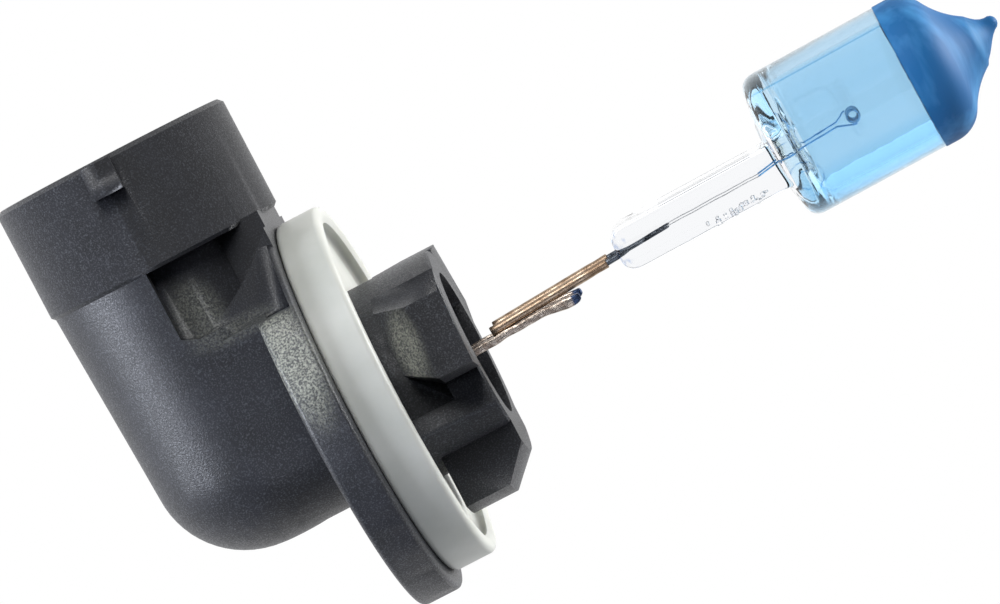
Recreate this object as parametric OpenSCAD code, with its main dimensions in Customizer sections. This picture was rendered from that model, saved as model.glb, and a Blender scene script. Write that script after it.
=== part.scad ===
// Halogen fog and headlight bulb with a right-angle bayonet base.
// Millimetres. The origin is where the neck's axis crosses the reference plane of the bayonet.
// +X runs along the neck's axis towards the glass tip, and +Z runs up the connector to its mouth.
// Angles round the X axis start at -Y and rise towards +Z.

/* [Neck and tabs] */
// Reference diameter of the neck
neck_d = 13.1; // [12:0.1:16]
// Diameter of the mouth in the neck's front face
mouth_d = 9.8; // [9:0.1:10.4]
// Distance from the reference plane to the neck's front face
nose_length = 4.4; // [3.6:0.1:6]
// Distance from the reference plane to the mould's parting line
parting_x = 2.1; // [1.4:0.1:2.6]
// Distance of the two small tabs' flat face from the axis
tab_reach = 8.7; // [8.2:0.1:9.6]
// Width of the two small tabs across their flat face
tab_width = 4.9; // [4:0.1:5.6]
// Outer radius of the wide tab
key_tab_radius = 9.5; // [8.8:0.1:10.4]
// Width of the wide tab
key_tab_width = 8; // [6:0.1:9]

/* [Flange and seal] */
// Outer diameter of the flange
flange_d = 26.5; // [25.4:0.1:32]
// Thickness of the flange
flange_thickness = 2.65; // [1.8:0.05:4]
// Outer diameter of the sealing ring
seal_d = 24.4; // [22:0.1:25.2]
// Thickness of the sealing ring at its lip
seal_thickness = 3; // [2.4:0.1:4]
// Free gap between the sealing ring and the reference plane
seal_gap = 0.4; // [0.2:0.1:2]
// Radial width of the sealing ring's lip
lip_width = 0.9; // [0.6:0.1:1.6]
// Height of the lip over the web inside it
lip_height = 1; // [0.6:0.1:1.4]

/* [Connector] */
// Distance from the reference plane back to the connector's axis
barrel_offset = 10.6; // [9.8:0.1:14]
// Outer diameter of the connector's shroud
shroud_d = 15.9; // [15.4:0.1:18]
// Height of the shroud's mouth above the neck's axis
mouth_height = 21; // [19.5:0.1:26]
// Length of the shroud's wide band
shroud_length = 7.6; // [6:0.1:8.4]
// Diameter of the smooth land inside the mouth
land_d = 14.2; // [13.8:0.1:14.6]
// Depth of the smooth land
land_depth = 3; // [2:0.1:4]
// Diameter of the socket below the land
socket_d = 13.4; // [12.6:0.1:13.8]
// Depth of the socket from the mouth
socket_depth = 7; // [5.5:0.1:7.4]
// Diameter of the well round the blades, below the socket
well_d = 9.4; // [9:0.1:10]
// Depth of the well from the mouth
well_depth = 11; // [9:0.1:12]

/* [Metal parts] */
// Thickness of the blade terminals
blade_thickness = 0.8; // [0.6:0.05:1]
// Width of the blade terminals
blade_width = 2.8; // [2:0.1:3.4]
// Distance between the middles of the two blades
blade_spacing = 6; // [5.6:0.1:6.2]
// Thickness of the support strips, sideways
strip_thickness = 0.8; // [0.5:0.05:0.9]
// Height of the support strips
strip_height = 0.6; // [0.4:0.02:0.8]
// Outer diameter of the crimp sleeves
sleeve_d = 0.64; // [0.6:0.02:0.9]
// Diameter of the outer lead pins
pin_d = 0.4; // [0.3:0.02:0.44]
// Angle at which the leads rise to the capsule
lead_tilt = 3.6; // [0:0.1:5]
// Drop of the leads below the middle of the pinch, at its free end
lead_drop = 0.2; // [0:0.02:0.4]

/* [Glass capsule] */
// Distance from the reference plane to the middle of the filament
light_centre = 31.75; // [30:0.05:34]
// Height of the capsule's axis over the neck's axis, at the reference plane
capsule_rise = 1.48; // [0.8:0.02:1.6]
// Angle at which the capsule's axis rises
capsule_tilt = 1.2; // [0:0.1:3]
// Outer diameter of the glass barrel
bulb_d = 9.7; // [9:0.1:12]
// Thickness of the barrel's wall
glass_wall = 0.9; // [0.6:0.05:1.1]
// Distance from the reference plane to the pinch's free end
pinch_start = 14.9; // [14:0.1:16]
// Thickness of the pinch
pinch_thickness = 3.05; // [2.6:0.05:3.6]
// Width of the pinch
pinch_width = 7.2; // [6.8:0.1:8]
// Offset of the pinch below the capsule's axis
pinch_drop = 0.8; // [0:0.05:1]
// Thickness of the dark lacquer on the dome
lacquer_thickness = 0.08; // [0.06:0.01:0.16]
// Length of the filament coil
coil_length = 4.2; // [3.4:0.1:4.8]
// Outer radius of the filament coil
coil_radius = 0.46; // [0.36:0.02:0.6]

/* [Hidden] */
$fn = 96;

// Small amount by which a cutter passes the face it opens
past = 0.5;
// Amount by which two bodies of one moulding share volume
bite = 0.3;
// Rounding on the moulding's exposed edges
edge_round = 0.3;

// Neck, seal and flange, from front to back
neck_r = neck_d / 2;
mouth_r = mouth_d / 2;
chamber_step = 0.5;
chamber_r = mouth_r - chamber_step;
seal_r = seal_d / 2;
seal_front = -seal_gap;
seal_back = seal_front - seal_thickness;
seal_fit = 0.03;
lip_blend = 0.2;
flange_r = flange_d / 2;
flange_back = seal_back - flange_thickness;
flange_lip = 0.35;
relief_depth = 0.6;
relief_low = -2.2;
relief_high = 3.4;

// Small tabs: middle angle of each, where the rear ramp starts, and how wide the root is
SMALL_TABS = [13, 150];
tab_back = 0.1;
tab_root_extra = 2.1;
tab_ramp_drop = 1.4;
tab_corner_cut = 1.4;
key_tab_back = -0.55;
key_tab_bevel = 1.9;
key_tab_root = 3.4;

// Connector barrel, with its draft
barrel_x = -barrel_offset;
shroud_r = shroud_d / 2;
shroud_low = mouth_height - shroud_length;
shroud_step = 0.22;
body_draft = 1.5;
foot_low = -5.58;
body_r = shroud_r - shroud_step;
foot_r = body_r - (shroud_low - foot_low) * tan(body_draft);
foot_round = 6;
foot_top = foot_low + foot_round;
socket_floor = mouth_height - socket_depth;
well_floor = mouth_height - well_depth;

// Elbow between barrel and flange, and the pocket over it
elbow_top = 7.6;
elbow_inset = 0.06;
elbow_ledge = 0.3;
web_half = 6.5;
spine_half = 5.2;
pocket_r = 6.7;
pocket_lean = 0.4;
pocket_back = barrel_x - pocket_lean;
pocket_rise = 0.75;
pocket_low = elbow_top + pocket_rise;
pocket_ahead = 0.7;
pocket_front = barrel_x + pocket_ahead;
pocket_toe = 0.5;
saddle_drop = 0.8;
saddle_high = shroud_low - saddle_drop;
saddle_r = 14.5;

// Guide ribs and latch
rib_width = 1.4;
rib_reach = 0.9;
rib_gap = 0.2;
latch_width = 2;
latch_height = 2.1;
latch_reach = 0.8;
latch_slope = 0.3;
latch_blunt = 0.42;

// Contact chamber and its plug
chamber_reach = 3.4;
chamber_back = barrel_x - chamber_reach;
plug_sink = 1.4;
plug_back = seal_back - plug_sink;
plug_length = 1.5;

// Contacts
blade_y = blade_spacing / 2;
blade_sink = 0.2;
blade_tip = mouth_height - land_depth - blade_sink;
blade_foot_length = 5;
blade_foot_height = 2;
blade_foot_low = -1.9;
strip_y = blade_y - blade_thickness / 2 - strip_thickness / 2;
sleeve_r = sleeve_d / 2;
pin_r = pin_d / 2;
cradle = 0.1;
strip_overlap = 3.2;
strip_top = cradle - sleeve_r;
strip_start = barrel_x - blade_width / 2 + blade_foot_length - strip_overlap - pinch_start;
strip_end = -3.6;
sleeve_start = -9.2;
sleeve_end = -0.8;
crimp_depth = 3.4;
pin_end = 3.7;

// Capsule, in its own leaning frame
bulb_r = bulb_d / 2;
inner_r = bulb_r - glass_wall;
barrel_ahead = 4.3;
barrel_behind = 5.65;
barrel_end = light_centre + barrel_ahead;
barrel_base = light_centre - barrel_behind;
base_round = 1.1;
base_cone = 0.35;
base_flat = 1.45;
base_turn = 170;
barrel_side = barrel_base + base_cone + base_round;
lacquer_band = 0.85;
shoulder_x = barrel_end + lacquer_band;
shoulder_round = 2.1;
tip_curve = 5.5;
tip_turn = 28;
tip_end = 58;
floor_thickness = 1.3;
gas_base = barrel_base + floor_thickness;
gas_turn = 160;
gas_tip_r = 0.5;
gas_tip_wall = 0.6;
gas_tip_cone = 0.1;
web_thickness = 1.7;
rail_width = 1.7;
web_margin = 0.6;
pinch_round = 1.1;
foil_thickness = 0.1;
foil_width = 1.6;
foil_margin = 1.2;
foil_end = barrel_base - foil_margin;
lead_r = 0.2;
tint_thickness = 0.03;
nipple_lean = 17;
nipple_r = 0.42;
nipple_length = 2.15;
nipple_sink = 0.4;
nipple_step = 0.16;
nipple_waist_x = 0.78;
nipple_waist_r = 1.04;

// Filament
coil_drop = 0.36;
coil_wire_r = 0.07;
coil_turns = 13;
coil_steps = 14;
coil_sides = 5;

// Height of the pinch's middle over the neck's axis, at a distance along it
function pinch_z(x) = capsule_rise - pinch_drop + x * tan(capsule_tilt);

// Points of an arc, as [x, r]
function arc(x, r, radius, from, to, steps = 6) =
    [for (i = [0:steps]) let (a = from + (to - from) * i / steps)
        [x + radius * cos(a), r + radius * sin(a)]];

// Centre of the circle through two points that lies to the left of the way from the first
function arc_centre(p, q, radius) =
    let (d = q - p, half = norm(d) / 2, rise = sqrt(radius * radius - half * half))
        (p + q) / 2 + [-d[1], d[0]] / norm(d) * rise;

// Turns a profile of [x, r] points round the X axis
module lathe_x(profile) {
    rotate([0, 90, 0]) rotate_extrude() polygon([for (p = profile) [p[1], p[0]]]);
}

// Turns a profile of [r, z] points round the connector's axis
module lathe_barrel(profile) {
    translate([barrel_x, 0, 0]) rotate_extrude() polygon(profile);
}

// Round bar along X
module bar_x(from, to, radius) {
    translate([from, 0, 0]) rotate([0, 90, 0]) cylinder(h = to - from, r = radius);
}

// Slab between two sides, from an outline of [x, z] points
module slab_y(outline, from, to) {
    translate([0, to, 0]) rotate([90, 0, 0]) linear_extrude(to - from) polygon(outline);
}

// Bar between two distances along X, from a cross-section of [y, z] points
module bar_section(section, from, to) {
    translate([from, 0, 0]) rotate([90, 0, 90]) linear_extrude(to - from) polygon(section);
}

// Children in the capsule's leaning frame
module leaning() {
    translate([0, 0, capsule_rise]) rotate([0, -capsule_tilt, 0]) children();
}

// Children in the frame of the leads, whose origin is in the pinch's free end
module on_leads() {
    translate([pinch_start, 0, pinch_z(pinch_start) - lead_drop]) rotate([0, -lead_tilt, 0])
        children();
}

// Children as they are on the right, or mirrored for the left
module on_side(side) {
    if (side < 0) children();
    else mirror([0, 1, 0]) children();
}

// ---- Moulded base ----

// Small bayonet tab: flat outside, with a ramp behind the parting line and a wide upper root
module small_tab(angle) {
    up = angle < 90 ? 1 : -1;
    half = tab_width / 2;
    top = half + tab_root_extra;
    ramp_end = tab_reach - tab_ramp_drop;
    rotate([-angle, 0, 0]) intersection() {
        bar_section([[-tab_reach, -up * half], [-tab_reach, up * half],
                     [-mouth_r, up * top], [-mouth_r, -up * half]], tab_back, nose_length);
        translate([0, 0, -neck_r]) linear_extrude(2 * neck_r)
            polygon([[tab_back, -mouth_r], [tab_back, -ramp_end], [parting_x, -tab_reach],
                     [nose_length, -tab_reach], [nose_length, -mouth_r]]);
        slab_y([[tab_back, up * top], [tab_back, up * (tab_corner_cut - half)],
                [parting_x, -up * half], [nose_length, -up * half], [nose_length, up * top]],
               -tab_reach, -mouth_r);
    }
}

// Wide bayonet tab under the neck, bevelled at the front
module key_tab() {
    intersection() {
        lathe_x([[key_tab_back, mouth_r], [key_tab_back, key_tab_radius],
                 [nose_length - key_tab_bevel, key_tab_radius],
                 [nose_length, key_tab_radius - key_tab_bevel], [nose_length, mouth_r]]);
        translate([key_tab_back, -key_tab_width / 2, -key_tab_radius])
            cube([nose_length - key_tab_back, key_tab_width, key_tab_radius - key_tab_root]);
    }
}

// Upright barrel with the shroud's wide band and a rounded foot
module barrel_body() {
    lathe_barrel(concat(
        [[0, foot_low]],
        arc(foot_r - foot_round, foot_top, foot_round, -90, 0, 16),
        [[body_r, shroud_low], [shroud_r, shroud_low + shroud_step],
         [shroud_r, mouth_height - edge_round], [shroud_r - edge_round, mouth_height],
         [0, mouth_height]]));
}

// Elbow from the barrel to the flange: flat sides, round lower corners and a bevelled top
module elbow_body() {
    corner_y = foot_r - foot_round;
    corner_r = foot_round - elbow_inset;
    top_half = foot_r - elbow_inset + (elbow_top - foot_top) * tan(body_draft);
    bar_section(concat(
        arc(-corner_y, foot_top, corner_r, 180, 270, 10),
        arc(corner_y, foot_top, corner_r, 270, 360, 10),
        [[top_half, elbow_top], [web_half, elbow_top + elbow_ledge],
         [-web_half, elbow_top + elbow_ledge], [-top_half, elbow_top]]),
        barrel_x, flange_back + bite);
}

// Space cut from the barrel's front half over the elbow, round a narrower core
module pocket() {
    difference() {
        slab_y([[pocket_back, shroud_low], [pocket_back, pocket_low + pocket_toe],
                [pocket_front, pocket_low], [barrel_x + shroud_r + past, pocket_low],
                [barrel_x + shroud_r + past, shroud_low]], -shroud_r - past, shroud_r + past);
        translate([barrel_x, 0, pocket_low - past])
            cylinder(h = shroud_low - pocket_low + 2 * past, r = pocket_r);
    }
}

// What the barrel would reach in front of the flange, below the pocket
module flange_side() {
    translate([seal_back - bite, -shroud_r, foot_low - past])
        cube([shroud_r, shroud_d, pocket_low - foot_low + past]);
}

// Upright wall that joins the barrel's core to the flange behind the pocket
module spine() {
    slab_y([[barrel_x, elbow_top], [barrel_x, shroud_low + bite], [seal_back, shroud_low + bite],
            [seal_back, elbow_top]], -spine_half, spine_half);
}

// Web that rises in a curve from the elbow to the top of the flange
module web() {
    low = [pocket_front, pocket_low];
    high = [seal_back, saddle_high];
    centre = arc_centre(low, high, saddle_r);
    difference() {
        slab_y([[barrel_x, elbow_top - bite], [barrel_x, pocket_low], low, [pocket_front, saddle_high],
                high, [seal_back, elbow_top - bite]], -web_half, web_half);
        translate([centre[0], 0, centre[1]]) rotate([90, 0, 0])
            cylinder(h = 2 * web_half + 2 * past, r = saddle_r, center = true, $fn = 180);
    }
}

// Disc that carries the seal: cut away behind a thin lip above the elbow
module flange_disc() {
    difference() {
        lathe_x(concat(
            [[flange_back, 0]],
            arc(flange_back + edge_round, flange_r - edge_round, edge_round, 180, 90, 3),
            arc(seal_back - edge_round, flange_r - edge_round, edge_round, 90, 0, 3),
            [[seal_back, 0]]));
        translate([flange_back - past, -flange_r - past, elbow_top])
            cube([flange_thickness - flange_lip + past, flange_d + 2 * past, flange_d]);
    }
}

// Plain neck between the flange and the nose's front face, with a flat relief on each side
module neck_body() {
    difference() {
        lathe_x([[seal_back - bite, 0], [seal_back - bite, neck_r],
                 [nose_length - edge_round / 2, neck_r], [nose_length, neck_r - edge_round / 2],
                 [nose_length, 0]]);
        for (side = [-1, 1]) on_side(side)
            translate([seal_back - bite - past, -neck_r - past, relief_low])
                cube([parting_x - seal_back + bite + past, relief_depth + past,
                      relief_high - relief_low]);
    }
}

// Latch for the harness plug, thick at its lower edge
module latch() {
    top = mouth_height - edge_round / 2;
    out = -shroud_r - latch_reach;
    translate([barrel_x - latch_width / 2, 0, 0]) rotate([90, 0, 90]) linear_extrude(latch_width)
        polygon([[-shroud_r + bite, top], [-shroud_r - latch_slope, top],
                 [out, top - latch_height + latch_blunt], [out, top - latch_height],
                 [-shroud_r + bite, top - latch_height]]);
}

// Stepped round socket that takes the harness plug
module socket_space() {
    translate([barrel_x, 0, well_floor]) cylinder(h = well_depth + past, r = well_d / 2);
    translate([barrel_x, 0, socket_floor]) cylinder(h = socket_depth + past, r = socket_d / 2);
    translate([barrel_x, 0, mouth_height - land_depth])
        cylinder(h = land_depth + past, r = land_d / 2);
}

// Guide ribs inside the socket, below the land
module socket_ribs() {
    for (turn = [0, 180])
        translate([barrel_x, 0, socket_floor - bite]) rotate([0, 0, turn])
            translate([socket_d / 2 - rib_reach, -rib_width / 2, 0])
                cube([rib_reach + bite, rib_width,
                      socket_depth - land_depth - rib_gap + bite]);
}

module base_housing() {
    color("dimgray") difference() {
        union() {
            difference() {
                union() {
                    difference() {
                        barrel_body();
                        pocket();
                        flange_side();
                    }
                    elbow_body();
                    spine();
                    web();
                    flange_disc();
                    neck_body();
                    for (angle = SMALL_TABS) small_tab(angle);
                    key_tab();
                    latch();
                }
                socket_space();
                bar_x(seal_back, nose_length + past, mouth_r);
                bar_x(chamber_back, seal_back + bite, chamber_r);
            }
            socket_ribs();
        }
        for (side = [-1, 1]) on_side(side) blade_shape();
    }
}

// ---- Seals ----

module sealing_ring() {
    bore = neck_r + seal_fit;
    web_front = seal_front - lip_height;
    lip_r = seal_r - lip_width;
    color("gainsboro") lathe_x(concat(
        [[seal_back, bore]],
        arc(seal_back + edge_round, seal_r - edge_round, edge_round, 180, 90, 4),
        arc(seal_front - edge_round, seal_r - edge_round, edge_round, 90, 0, 4),
        [[seal_front, lip_r], [web_front + lip_blend, lip_r - lip_blend],
         [web_front, lip_r - 2 * lip_blend], [web_front, bore]]));
}

module potting_plug() {
    color("darkslategray") difference() {
        bar_x(plug_back - plug_length, plug_back, chamber_r);
        for (side = [-1, 1]) on_side(side) strip_shape();
    }
}

// ---- Contacts, drawn on the right side, which is -Y ----

// Upright blade with a foot inside the chamber
module blade_shape() {
    half = blade_width / 2;
    point = blade_thickness / 2;
    foot_end = barrel_x - half + blade_foot_length;
    slab_y([[barrel_x - half, blade_foot_low], [barrel_x - half, blade_tip - point],
            [barrel_x - half + point, blade_tip], [barrel_x + half - point, blade_tip],
            [barrel_x + half, blade_tip - point], [barrel_x + half, blade_foot_low + blade_foot_height],
            [foot_end, blade_foot_low + blade_foot_height], [foot_end, blade_foot_low]],
           -blade_y - blade_thickness / 2, -blade_y + blade_thickness / 2);
}

module blade_terminal(side) {
    color("goldenrod") on_side(side) blade_shape();
}

// Strip from the blade's foot to the weld under the sleeve
module strip_shape() {
    on_leads() translate([strip_start, -strip_y - strip_thickness / 2, strip_top - strip_height])
        cube([strip_end - strip_start, strip_thickness, strip_height]);
}

module support_strip(side) {
    color("rosybrown") on_side(side) difference() {
        strip_shape();
        on_leads() translate([0, -strip_y, 0]) bar_x(sleeve_start, strip_end + past, sleeve_r);
    }
}

module crimp_sleeve(side) {
    color("peru") on_side(side) on_leads() translate([0, -strip_y, 0]) difference() {
        bar_x(sleeve_start, sleeve_end, sleeve_r);
        bar_x(sleeve_end - crimp_depth, sleeve_end + past, pin_r);
    }
}

module pin_shape() {
    on_leads() translate([0, -strip_y, 0]) bar_x(sleeve_end - crimp_depth, pin_end, pin_r);
}

module lead_pin(side) {
    color("slategray") on_side(side) pin_shape();
}

// Foil in the pinch, from the end of the pin to the root of the inner lead
module foil_shape() {
    leaning() translate([pinch_start + pin_end, -strip_y - foil_width / 2, -pinch_drop - foil_thickness / 2])
        cube([foil_end - pinch_start - pin_end, foil_width, foil_thickness]);
}

module foil(side) {
    color("lightsteelblue") on_side(side) foil_shape();
}

// Inner lead from the foil up to the end of the coil
module inner_lead_shape() {
    run = light_centre - foil_end;
    rise = pinch_drop - coil_drop;
    leaning() translate([foil_end, -strip_y, -pinch_drop]) rotate([0, -atan2(rise, run), 0]) {
        bar_x(0, norm([run, rise]), lead_r);
        translate([norm([run, rise]), 0, 0]) sphere(r = lead_r);
    }
}

module inner_lead(side) {
    color("slategray") on_side(side) inner_lead_shape();
}

// Helix of tungsten wire across the bulb's axis
module coil_shape() {
    radius = coil_radius - coil_wire_r;
    count = coil_turns * coil_steps;
    half = coil_length / 2;
    rings = [for (i = [0:count]) let (a = 360 * i / coil_steps, y = coil_length * i / count - half)
        for (j = [0:coil_sides - 1]) let (b = 360 * j / coil_sides, r = radius + coil_wire_r * cos(b))
            [r * cos(a), y + coil_wire_r * sin(b), r * sin(a)]];
    caps = [[for (j = [0:coil_sides - 1]) j],
            [for (j = [coil_sides - 1:-1:0]) count * coil_sides + j]];
    walls = [for (i = [0:count - 1]) for (j = [0:coil_sides - 1])
        let (a = i * coil_sides + j, b = i * coil_sides + (j + 1) % coil_sides)
            [a, a + coil_sides, b + coil_sides, b]];
    polyhedron(rings, concat(caps, walls));
}

module filament_coil() {
    color("silver") leaning() translate([light_centre, 0, -coil_drop]) coil_shape();
}

// ---- Glass ----

// Outline of the barrel and dome, with a skin of the given thickness
function bulb_outline(skin) =
    let (shoulder_r = bulb_r - shoulder_round, root = tip_root())
    concat(
        [[barrel_base - skin, 0], [barrel_base - skin, base_flat],
         [barrel_base + base_cone - skin, bulb_r - base_round]],
        arc(barrel_side, bulb_r - base_round, base_round + skin, base_turn, 90, 5),
        arc(shoulder_x, shoulder_r, shoulder_round + skin, 90, tip_turn, 8),
        arc(root[0], root[1], tip_curve - skin, 180 + tip_turn, 180 + tip_end, 7),
        [[root[0] + (tip_curve - skin) * cos(180 + tip_end), 0]]);

// Centre of the hollow curve between the shoulder and the tip
function tip_root() = [shoulder_x, bulb_r - shoulder_round]
    + (shoulder_round + tip_curve) * [cos(tip_turn), sin(tip_turn)];

// Where the dome ends and the nipple takes over, as [x, r]
function tip_seat() = tip_root() + tip_curve * [cos(180 + tip_end), sin(180 + tip_end)];

// Outline of the gas space inside the glass
function gas_outline() = concat(
    [[gas_base, 0], [gas_base, inner_r - base_round]],
    arc(gas_base + base_round, inner_r - base_round, base_round, gas_turn, 90, 4),
    arc(shoulder_x, bulb_r - shoulder_round, shoulder_round - glass_wall, 90, tip_turn, 4),
    [[tip_seat()[0] - gas_tip_wall, gas_tip_r], [tip_seat()[0] - gas_tip_wall + gas_tip_cone, 0]]);

// Sealed tip where the exhaust tube was melted off, a little bent
module nipple(skin) {
    root_r = tip_seat()[1] - nipple_step;
    ball_x = nipple_length - nipple_r;
    translate([tip_seat()[0] - nipple_sink, 0, 0]) rotate([0, -nipple_lean, 0])
        lathe_x(concat([[0, 0], [0, root_r + skin], [nipple_waist_x, nipple_waist_r + skin]],
                       arc(ball_x, 0, nipple_r + skin, 90, 0, 5)));
}

// Pressed foot of the capsule: a thin web between two thick rails, rounded at its free end
module pinch() {
    half = pinch_width / 2;
    thick = pinch_thickness / 2;
    translate([0, 0, -pinch_drop]) difference() {
        union() {
            translate([pinch_start + pinch_round, -half, -thick])
                cube([barrel_side - pinch_start - pinch_round, pinch_width, pinch_thickness]);
            translate([pinch_start, -half, pinch_round - thick])
                cube([pinch_round + bite, pinch_width, pinch_thickness - 2 * pinch_round]);
            for (z = [pinch_round - thick, thick - pinch_round])
                translate([pinch_start + pinch_round, 0, z]) rotate([90, 0, 0])
                    cylinder(h = pinch_width, r = pinch_round, center = true);
        }
        for (up = [-1, 1])
            translate([pinch_start + pinch_round + past, rail_width - half,
                       up > 0 ? web_thickness / 2 : -thick - past])
                cube([barrel_base - pinch_start - pinch_round - past - web_margin,
                      pinch_width - 2 * rail_width,
                      thick - web_thickness / 2 + past]);
    }
}

module glass_solid(skin) {
    lathe_x(bulb_outline(skin));
    nipple(skin);
}

module glass_capsule() {
    color("aliceblue", 0.5) difference() {
        leaning() difference() {
            union() {
                glass_solid(0);
                pinch();
            }
            lathe_x(gas_outline());
        }
        for (side = [-1, 1]) on_side(side) {
            pin_shape();
            foil_shape();
            inner_lead_shape();
        }
    }
}

// Blue interference film on the straight part of the barrel
module barrel_tint() {
    color("lightskyblue", 0.6) leaning() lathe_x([
        [barrel_side, bulb_r], [barrel_side, bulb_r + tint_thickness],
        [barrel_end, bulb_r + tint_thickness], [barrel_end, bulb_r]]);
}

// Dark lacquer over the dome and its tip
module dome_lacquer() {
    color("royalblue") leaning() difference() {
        intersection() {
            glass_solid(lacquer_thickness);
            bar_x(barrel_end, barrel_end + 2 * bulb_r, bulb_d);
        }
        glass_solid(0);
    }
}

base_housing();
sealing_ring();
potting_plug();
blade_terminal(-1);  // blade_terminal_right
blade_terminal(1);  // blade_terminal_left
support_strip(-1);  // support_strip_right
support_strip(1);  // support_strip_left
crimp_sleeve(-1);  // crimp_sleeve_right
crimp_sleeve(1);  // crimp_sleeve_left
lead_pin(-1);  // lead_pin_right
lead_pin(1);  // lead_pin_left
foil(-1);  // foil_right
foil(1);  // foil_left
inner_lead(-1);  // inner_lead_right
inner_lead(1);  // inner_lead_left
filament_coil();
glass_capsule();
barrel_tint();
dome_lacquer();
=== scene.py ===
"""Looks of a tinted halogen bulb with a right-angle bayonet base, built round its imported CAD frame.

The moulded base, the blades and the resin plug are softened copies of their CAD solids. The seal, the leads,
the glass, the film, the lacquer and the filament are modelled here at the places the frame gives, and every
surface gets a procedural material. Sizes are in millimetres and are turned to metres where a mesh is made.
"""
import logging
import math
import random
from dataclasses import dataclass, field
from enum import Enum
from functools import partial, reduce
from itertools import pairwise
from typing import Any, Callable, Sequence

import bpy
from mathutils import Matrix, Vector


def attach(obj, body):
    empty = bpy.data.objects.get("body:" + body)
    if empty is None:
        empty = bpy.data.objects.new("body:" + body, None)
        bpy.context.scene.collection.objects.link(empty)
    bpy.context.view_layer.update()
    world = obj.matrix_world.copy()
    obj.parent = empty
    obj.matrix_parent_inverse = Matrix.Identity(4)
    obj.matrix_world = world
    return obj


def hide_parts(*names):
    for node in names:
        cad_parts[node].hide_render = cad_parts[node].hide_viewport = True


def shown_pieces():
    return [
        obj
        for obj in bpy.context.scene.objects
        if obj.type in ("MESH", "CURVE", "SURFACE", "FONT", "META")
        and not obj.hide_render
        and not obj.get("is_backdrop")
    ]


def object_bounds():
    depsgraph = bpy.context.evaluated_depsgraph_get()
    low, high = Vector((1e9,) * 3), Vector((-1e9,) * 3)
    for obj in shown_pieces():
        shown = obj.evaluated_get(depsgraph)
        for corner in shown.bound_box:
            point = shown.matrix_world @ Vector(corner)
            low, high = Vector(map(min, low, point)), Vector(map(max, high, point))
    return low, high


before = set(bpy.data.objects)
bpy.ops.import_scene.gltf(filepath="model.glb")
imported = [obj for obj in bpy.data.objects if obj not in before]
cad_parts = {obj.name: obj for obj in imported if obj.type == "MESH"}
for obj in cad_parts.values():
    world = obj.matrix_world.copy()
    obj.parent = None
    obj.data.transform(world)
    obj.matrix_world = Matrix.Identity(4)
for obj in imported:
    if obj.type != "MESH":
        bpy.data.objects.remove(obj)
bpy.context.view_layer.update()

MM = 0.001
BODY = "root"
QUARTZ_IOR = 1.46
Socket = bpy.types.NodeSocket
Adder = Callable[..., bpy.types.Node]
Stops = Sequence[tuple[float, str]]
log = logging.getLogger("bulb")


# ---- Colours and nodes ----

def linear(colour: str) -> tuple[float, float, float, float]:
    """Turns an sRGB hex colour to a linear one.

    Args:
        colour: six hex digits after a hash.

    Returns:
        Red, green, blue and an alpha of 1.
    """
    channels = [int(colour[i:i + 2], 16) / 255 for i in (1, 3, 5)]
    red, green, blue = (c / 12.92 if c <= 0.04045 else ((c + 0.055) / 1.055) ** 2.4 for c in channels)
    return red, green, blue, 1.0


def add_node(tree: bpy.types.NodeTree, kind: str, inputs: dict[Any, Any] | None = None, stops: Stops = (),
             **settings: Any) -> bpy.types.Node:
    """Adds a node with its settings, its input values or links, and a ramp's colour stops.

    Args:
        tree: the tree to add to.
        kind: the node's type name, without the ShaderNode it starts with.
        inputs: for each input's name or number, a value, or the socket or the node that feeds it. A node
            feeds it from its first output in use.
        stops: places and hex colours of a colour ramp.
        settings: the node's own properties.

    Returns:
        The new node.
    """
    node = tree.nodes.new(f"ShaderNode{kind}")
    for name, value in settings.items():
        setattr(node, name, value)
    for name, value in (inputs or {}).items():
        if isinstance(value, bpy.types.Node):
            value = next(output for output in value.outputs if output.enabled)
        if isinstance(value, Socket):
            tree.links.new(value, node.inputs[name])
        else:
            node.inputs[name].default_value = value
    for i, (place, colour) in enumerate(stops):
        ramp = node.color_ramp.elements
        stop = ramp[i] if i < len(ramp) else ramp.new(place)
        stop.position = place
        stop.color = linear(colour)
    return node


def per_mm(size: float) -> float:
    """Scale of a texture whose features are this many millimetres across."""
    return 1 / (size * MM)


# ---- Finishes ----

@dataclass(frozen=True)
class Finish:
    """A real material and how its surface was made."""

    name: str
    roughness: float = 0.5
    metallic: float = 0.0

    def material(self) -> bpy.types.Material:
        """Builds the material, or finds it if it was built before.

        Returns:
            The Blender material.
        """
        made = bpy.data.materials.get(self.name)
        if made:
            return made
        made = bpy.data.materials.new(self.name)
        made.use_nodes = True
        made.node_tree.nodes.clear()
        add = partial(add_node, made.node_tree)
        place = add("TexCoord").outputs["Object"]
        shader = add("BsdfPrincipled", {"Roughness": self.roughness, "Metallic": self.metallic,
                                        **self.dress(add, place)})
        add("OutputMaterial", {0: shader})
        return made

    def dress(self, add: Adder, place: Socket) -> dict[str, Any]:
        """Makes the finish's own nodes.

        Args:
            add: adds a node to the material.
            place: the socket with the object coordinates.

        Returns:
            What feeds the shader's inputs, by their names.
        """
        raise NotImplementedError


@dataclass(frozen=True)
class PaintedSparkleZone:
    """A soft-edged place on a moulding where coarse sparkle is painted, a painted highlight where the lights
    catch the grain: centre, half sizes and strength.
    """

    centre: tuple[float, float, float]
    half: tuple[float, float, float]
    strength: float = 1.0
    edge: tuple[float, float] = (1.15, 0.45)

    def share(self, add: Adder, place: Socket) -> bpy.types.Node:
        """The zone's share at a place, from its strength in the middle to nothing outside."""
        inside = add("VectorMath", {0: place, 1: tuple(c * MM for c in self.centre)}, operation="SUBTRACT")
        scaled = add("VectorMath", {0: inside, 1: tuple(h * MM for h in self.half)}, operation="DIVIDE")
        reach = add("VectorMath", {0: scaled}, operation="LENGTH")
        return add("MapRange", {0: reach, 1: self.edge[0], 2: self.edge[1], 4: self.strength},
                   interpolation_type="SMOOTHSTEP")


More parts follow.
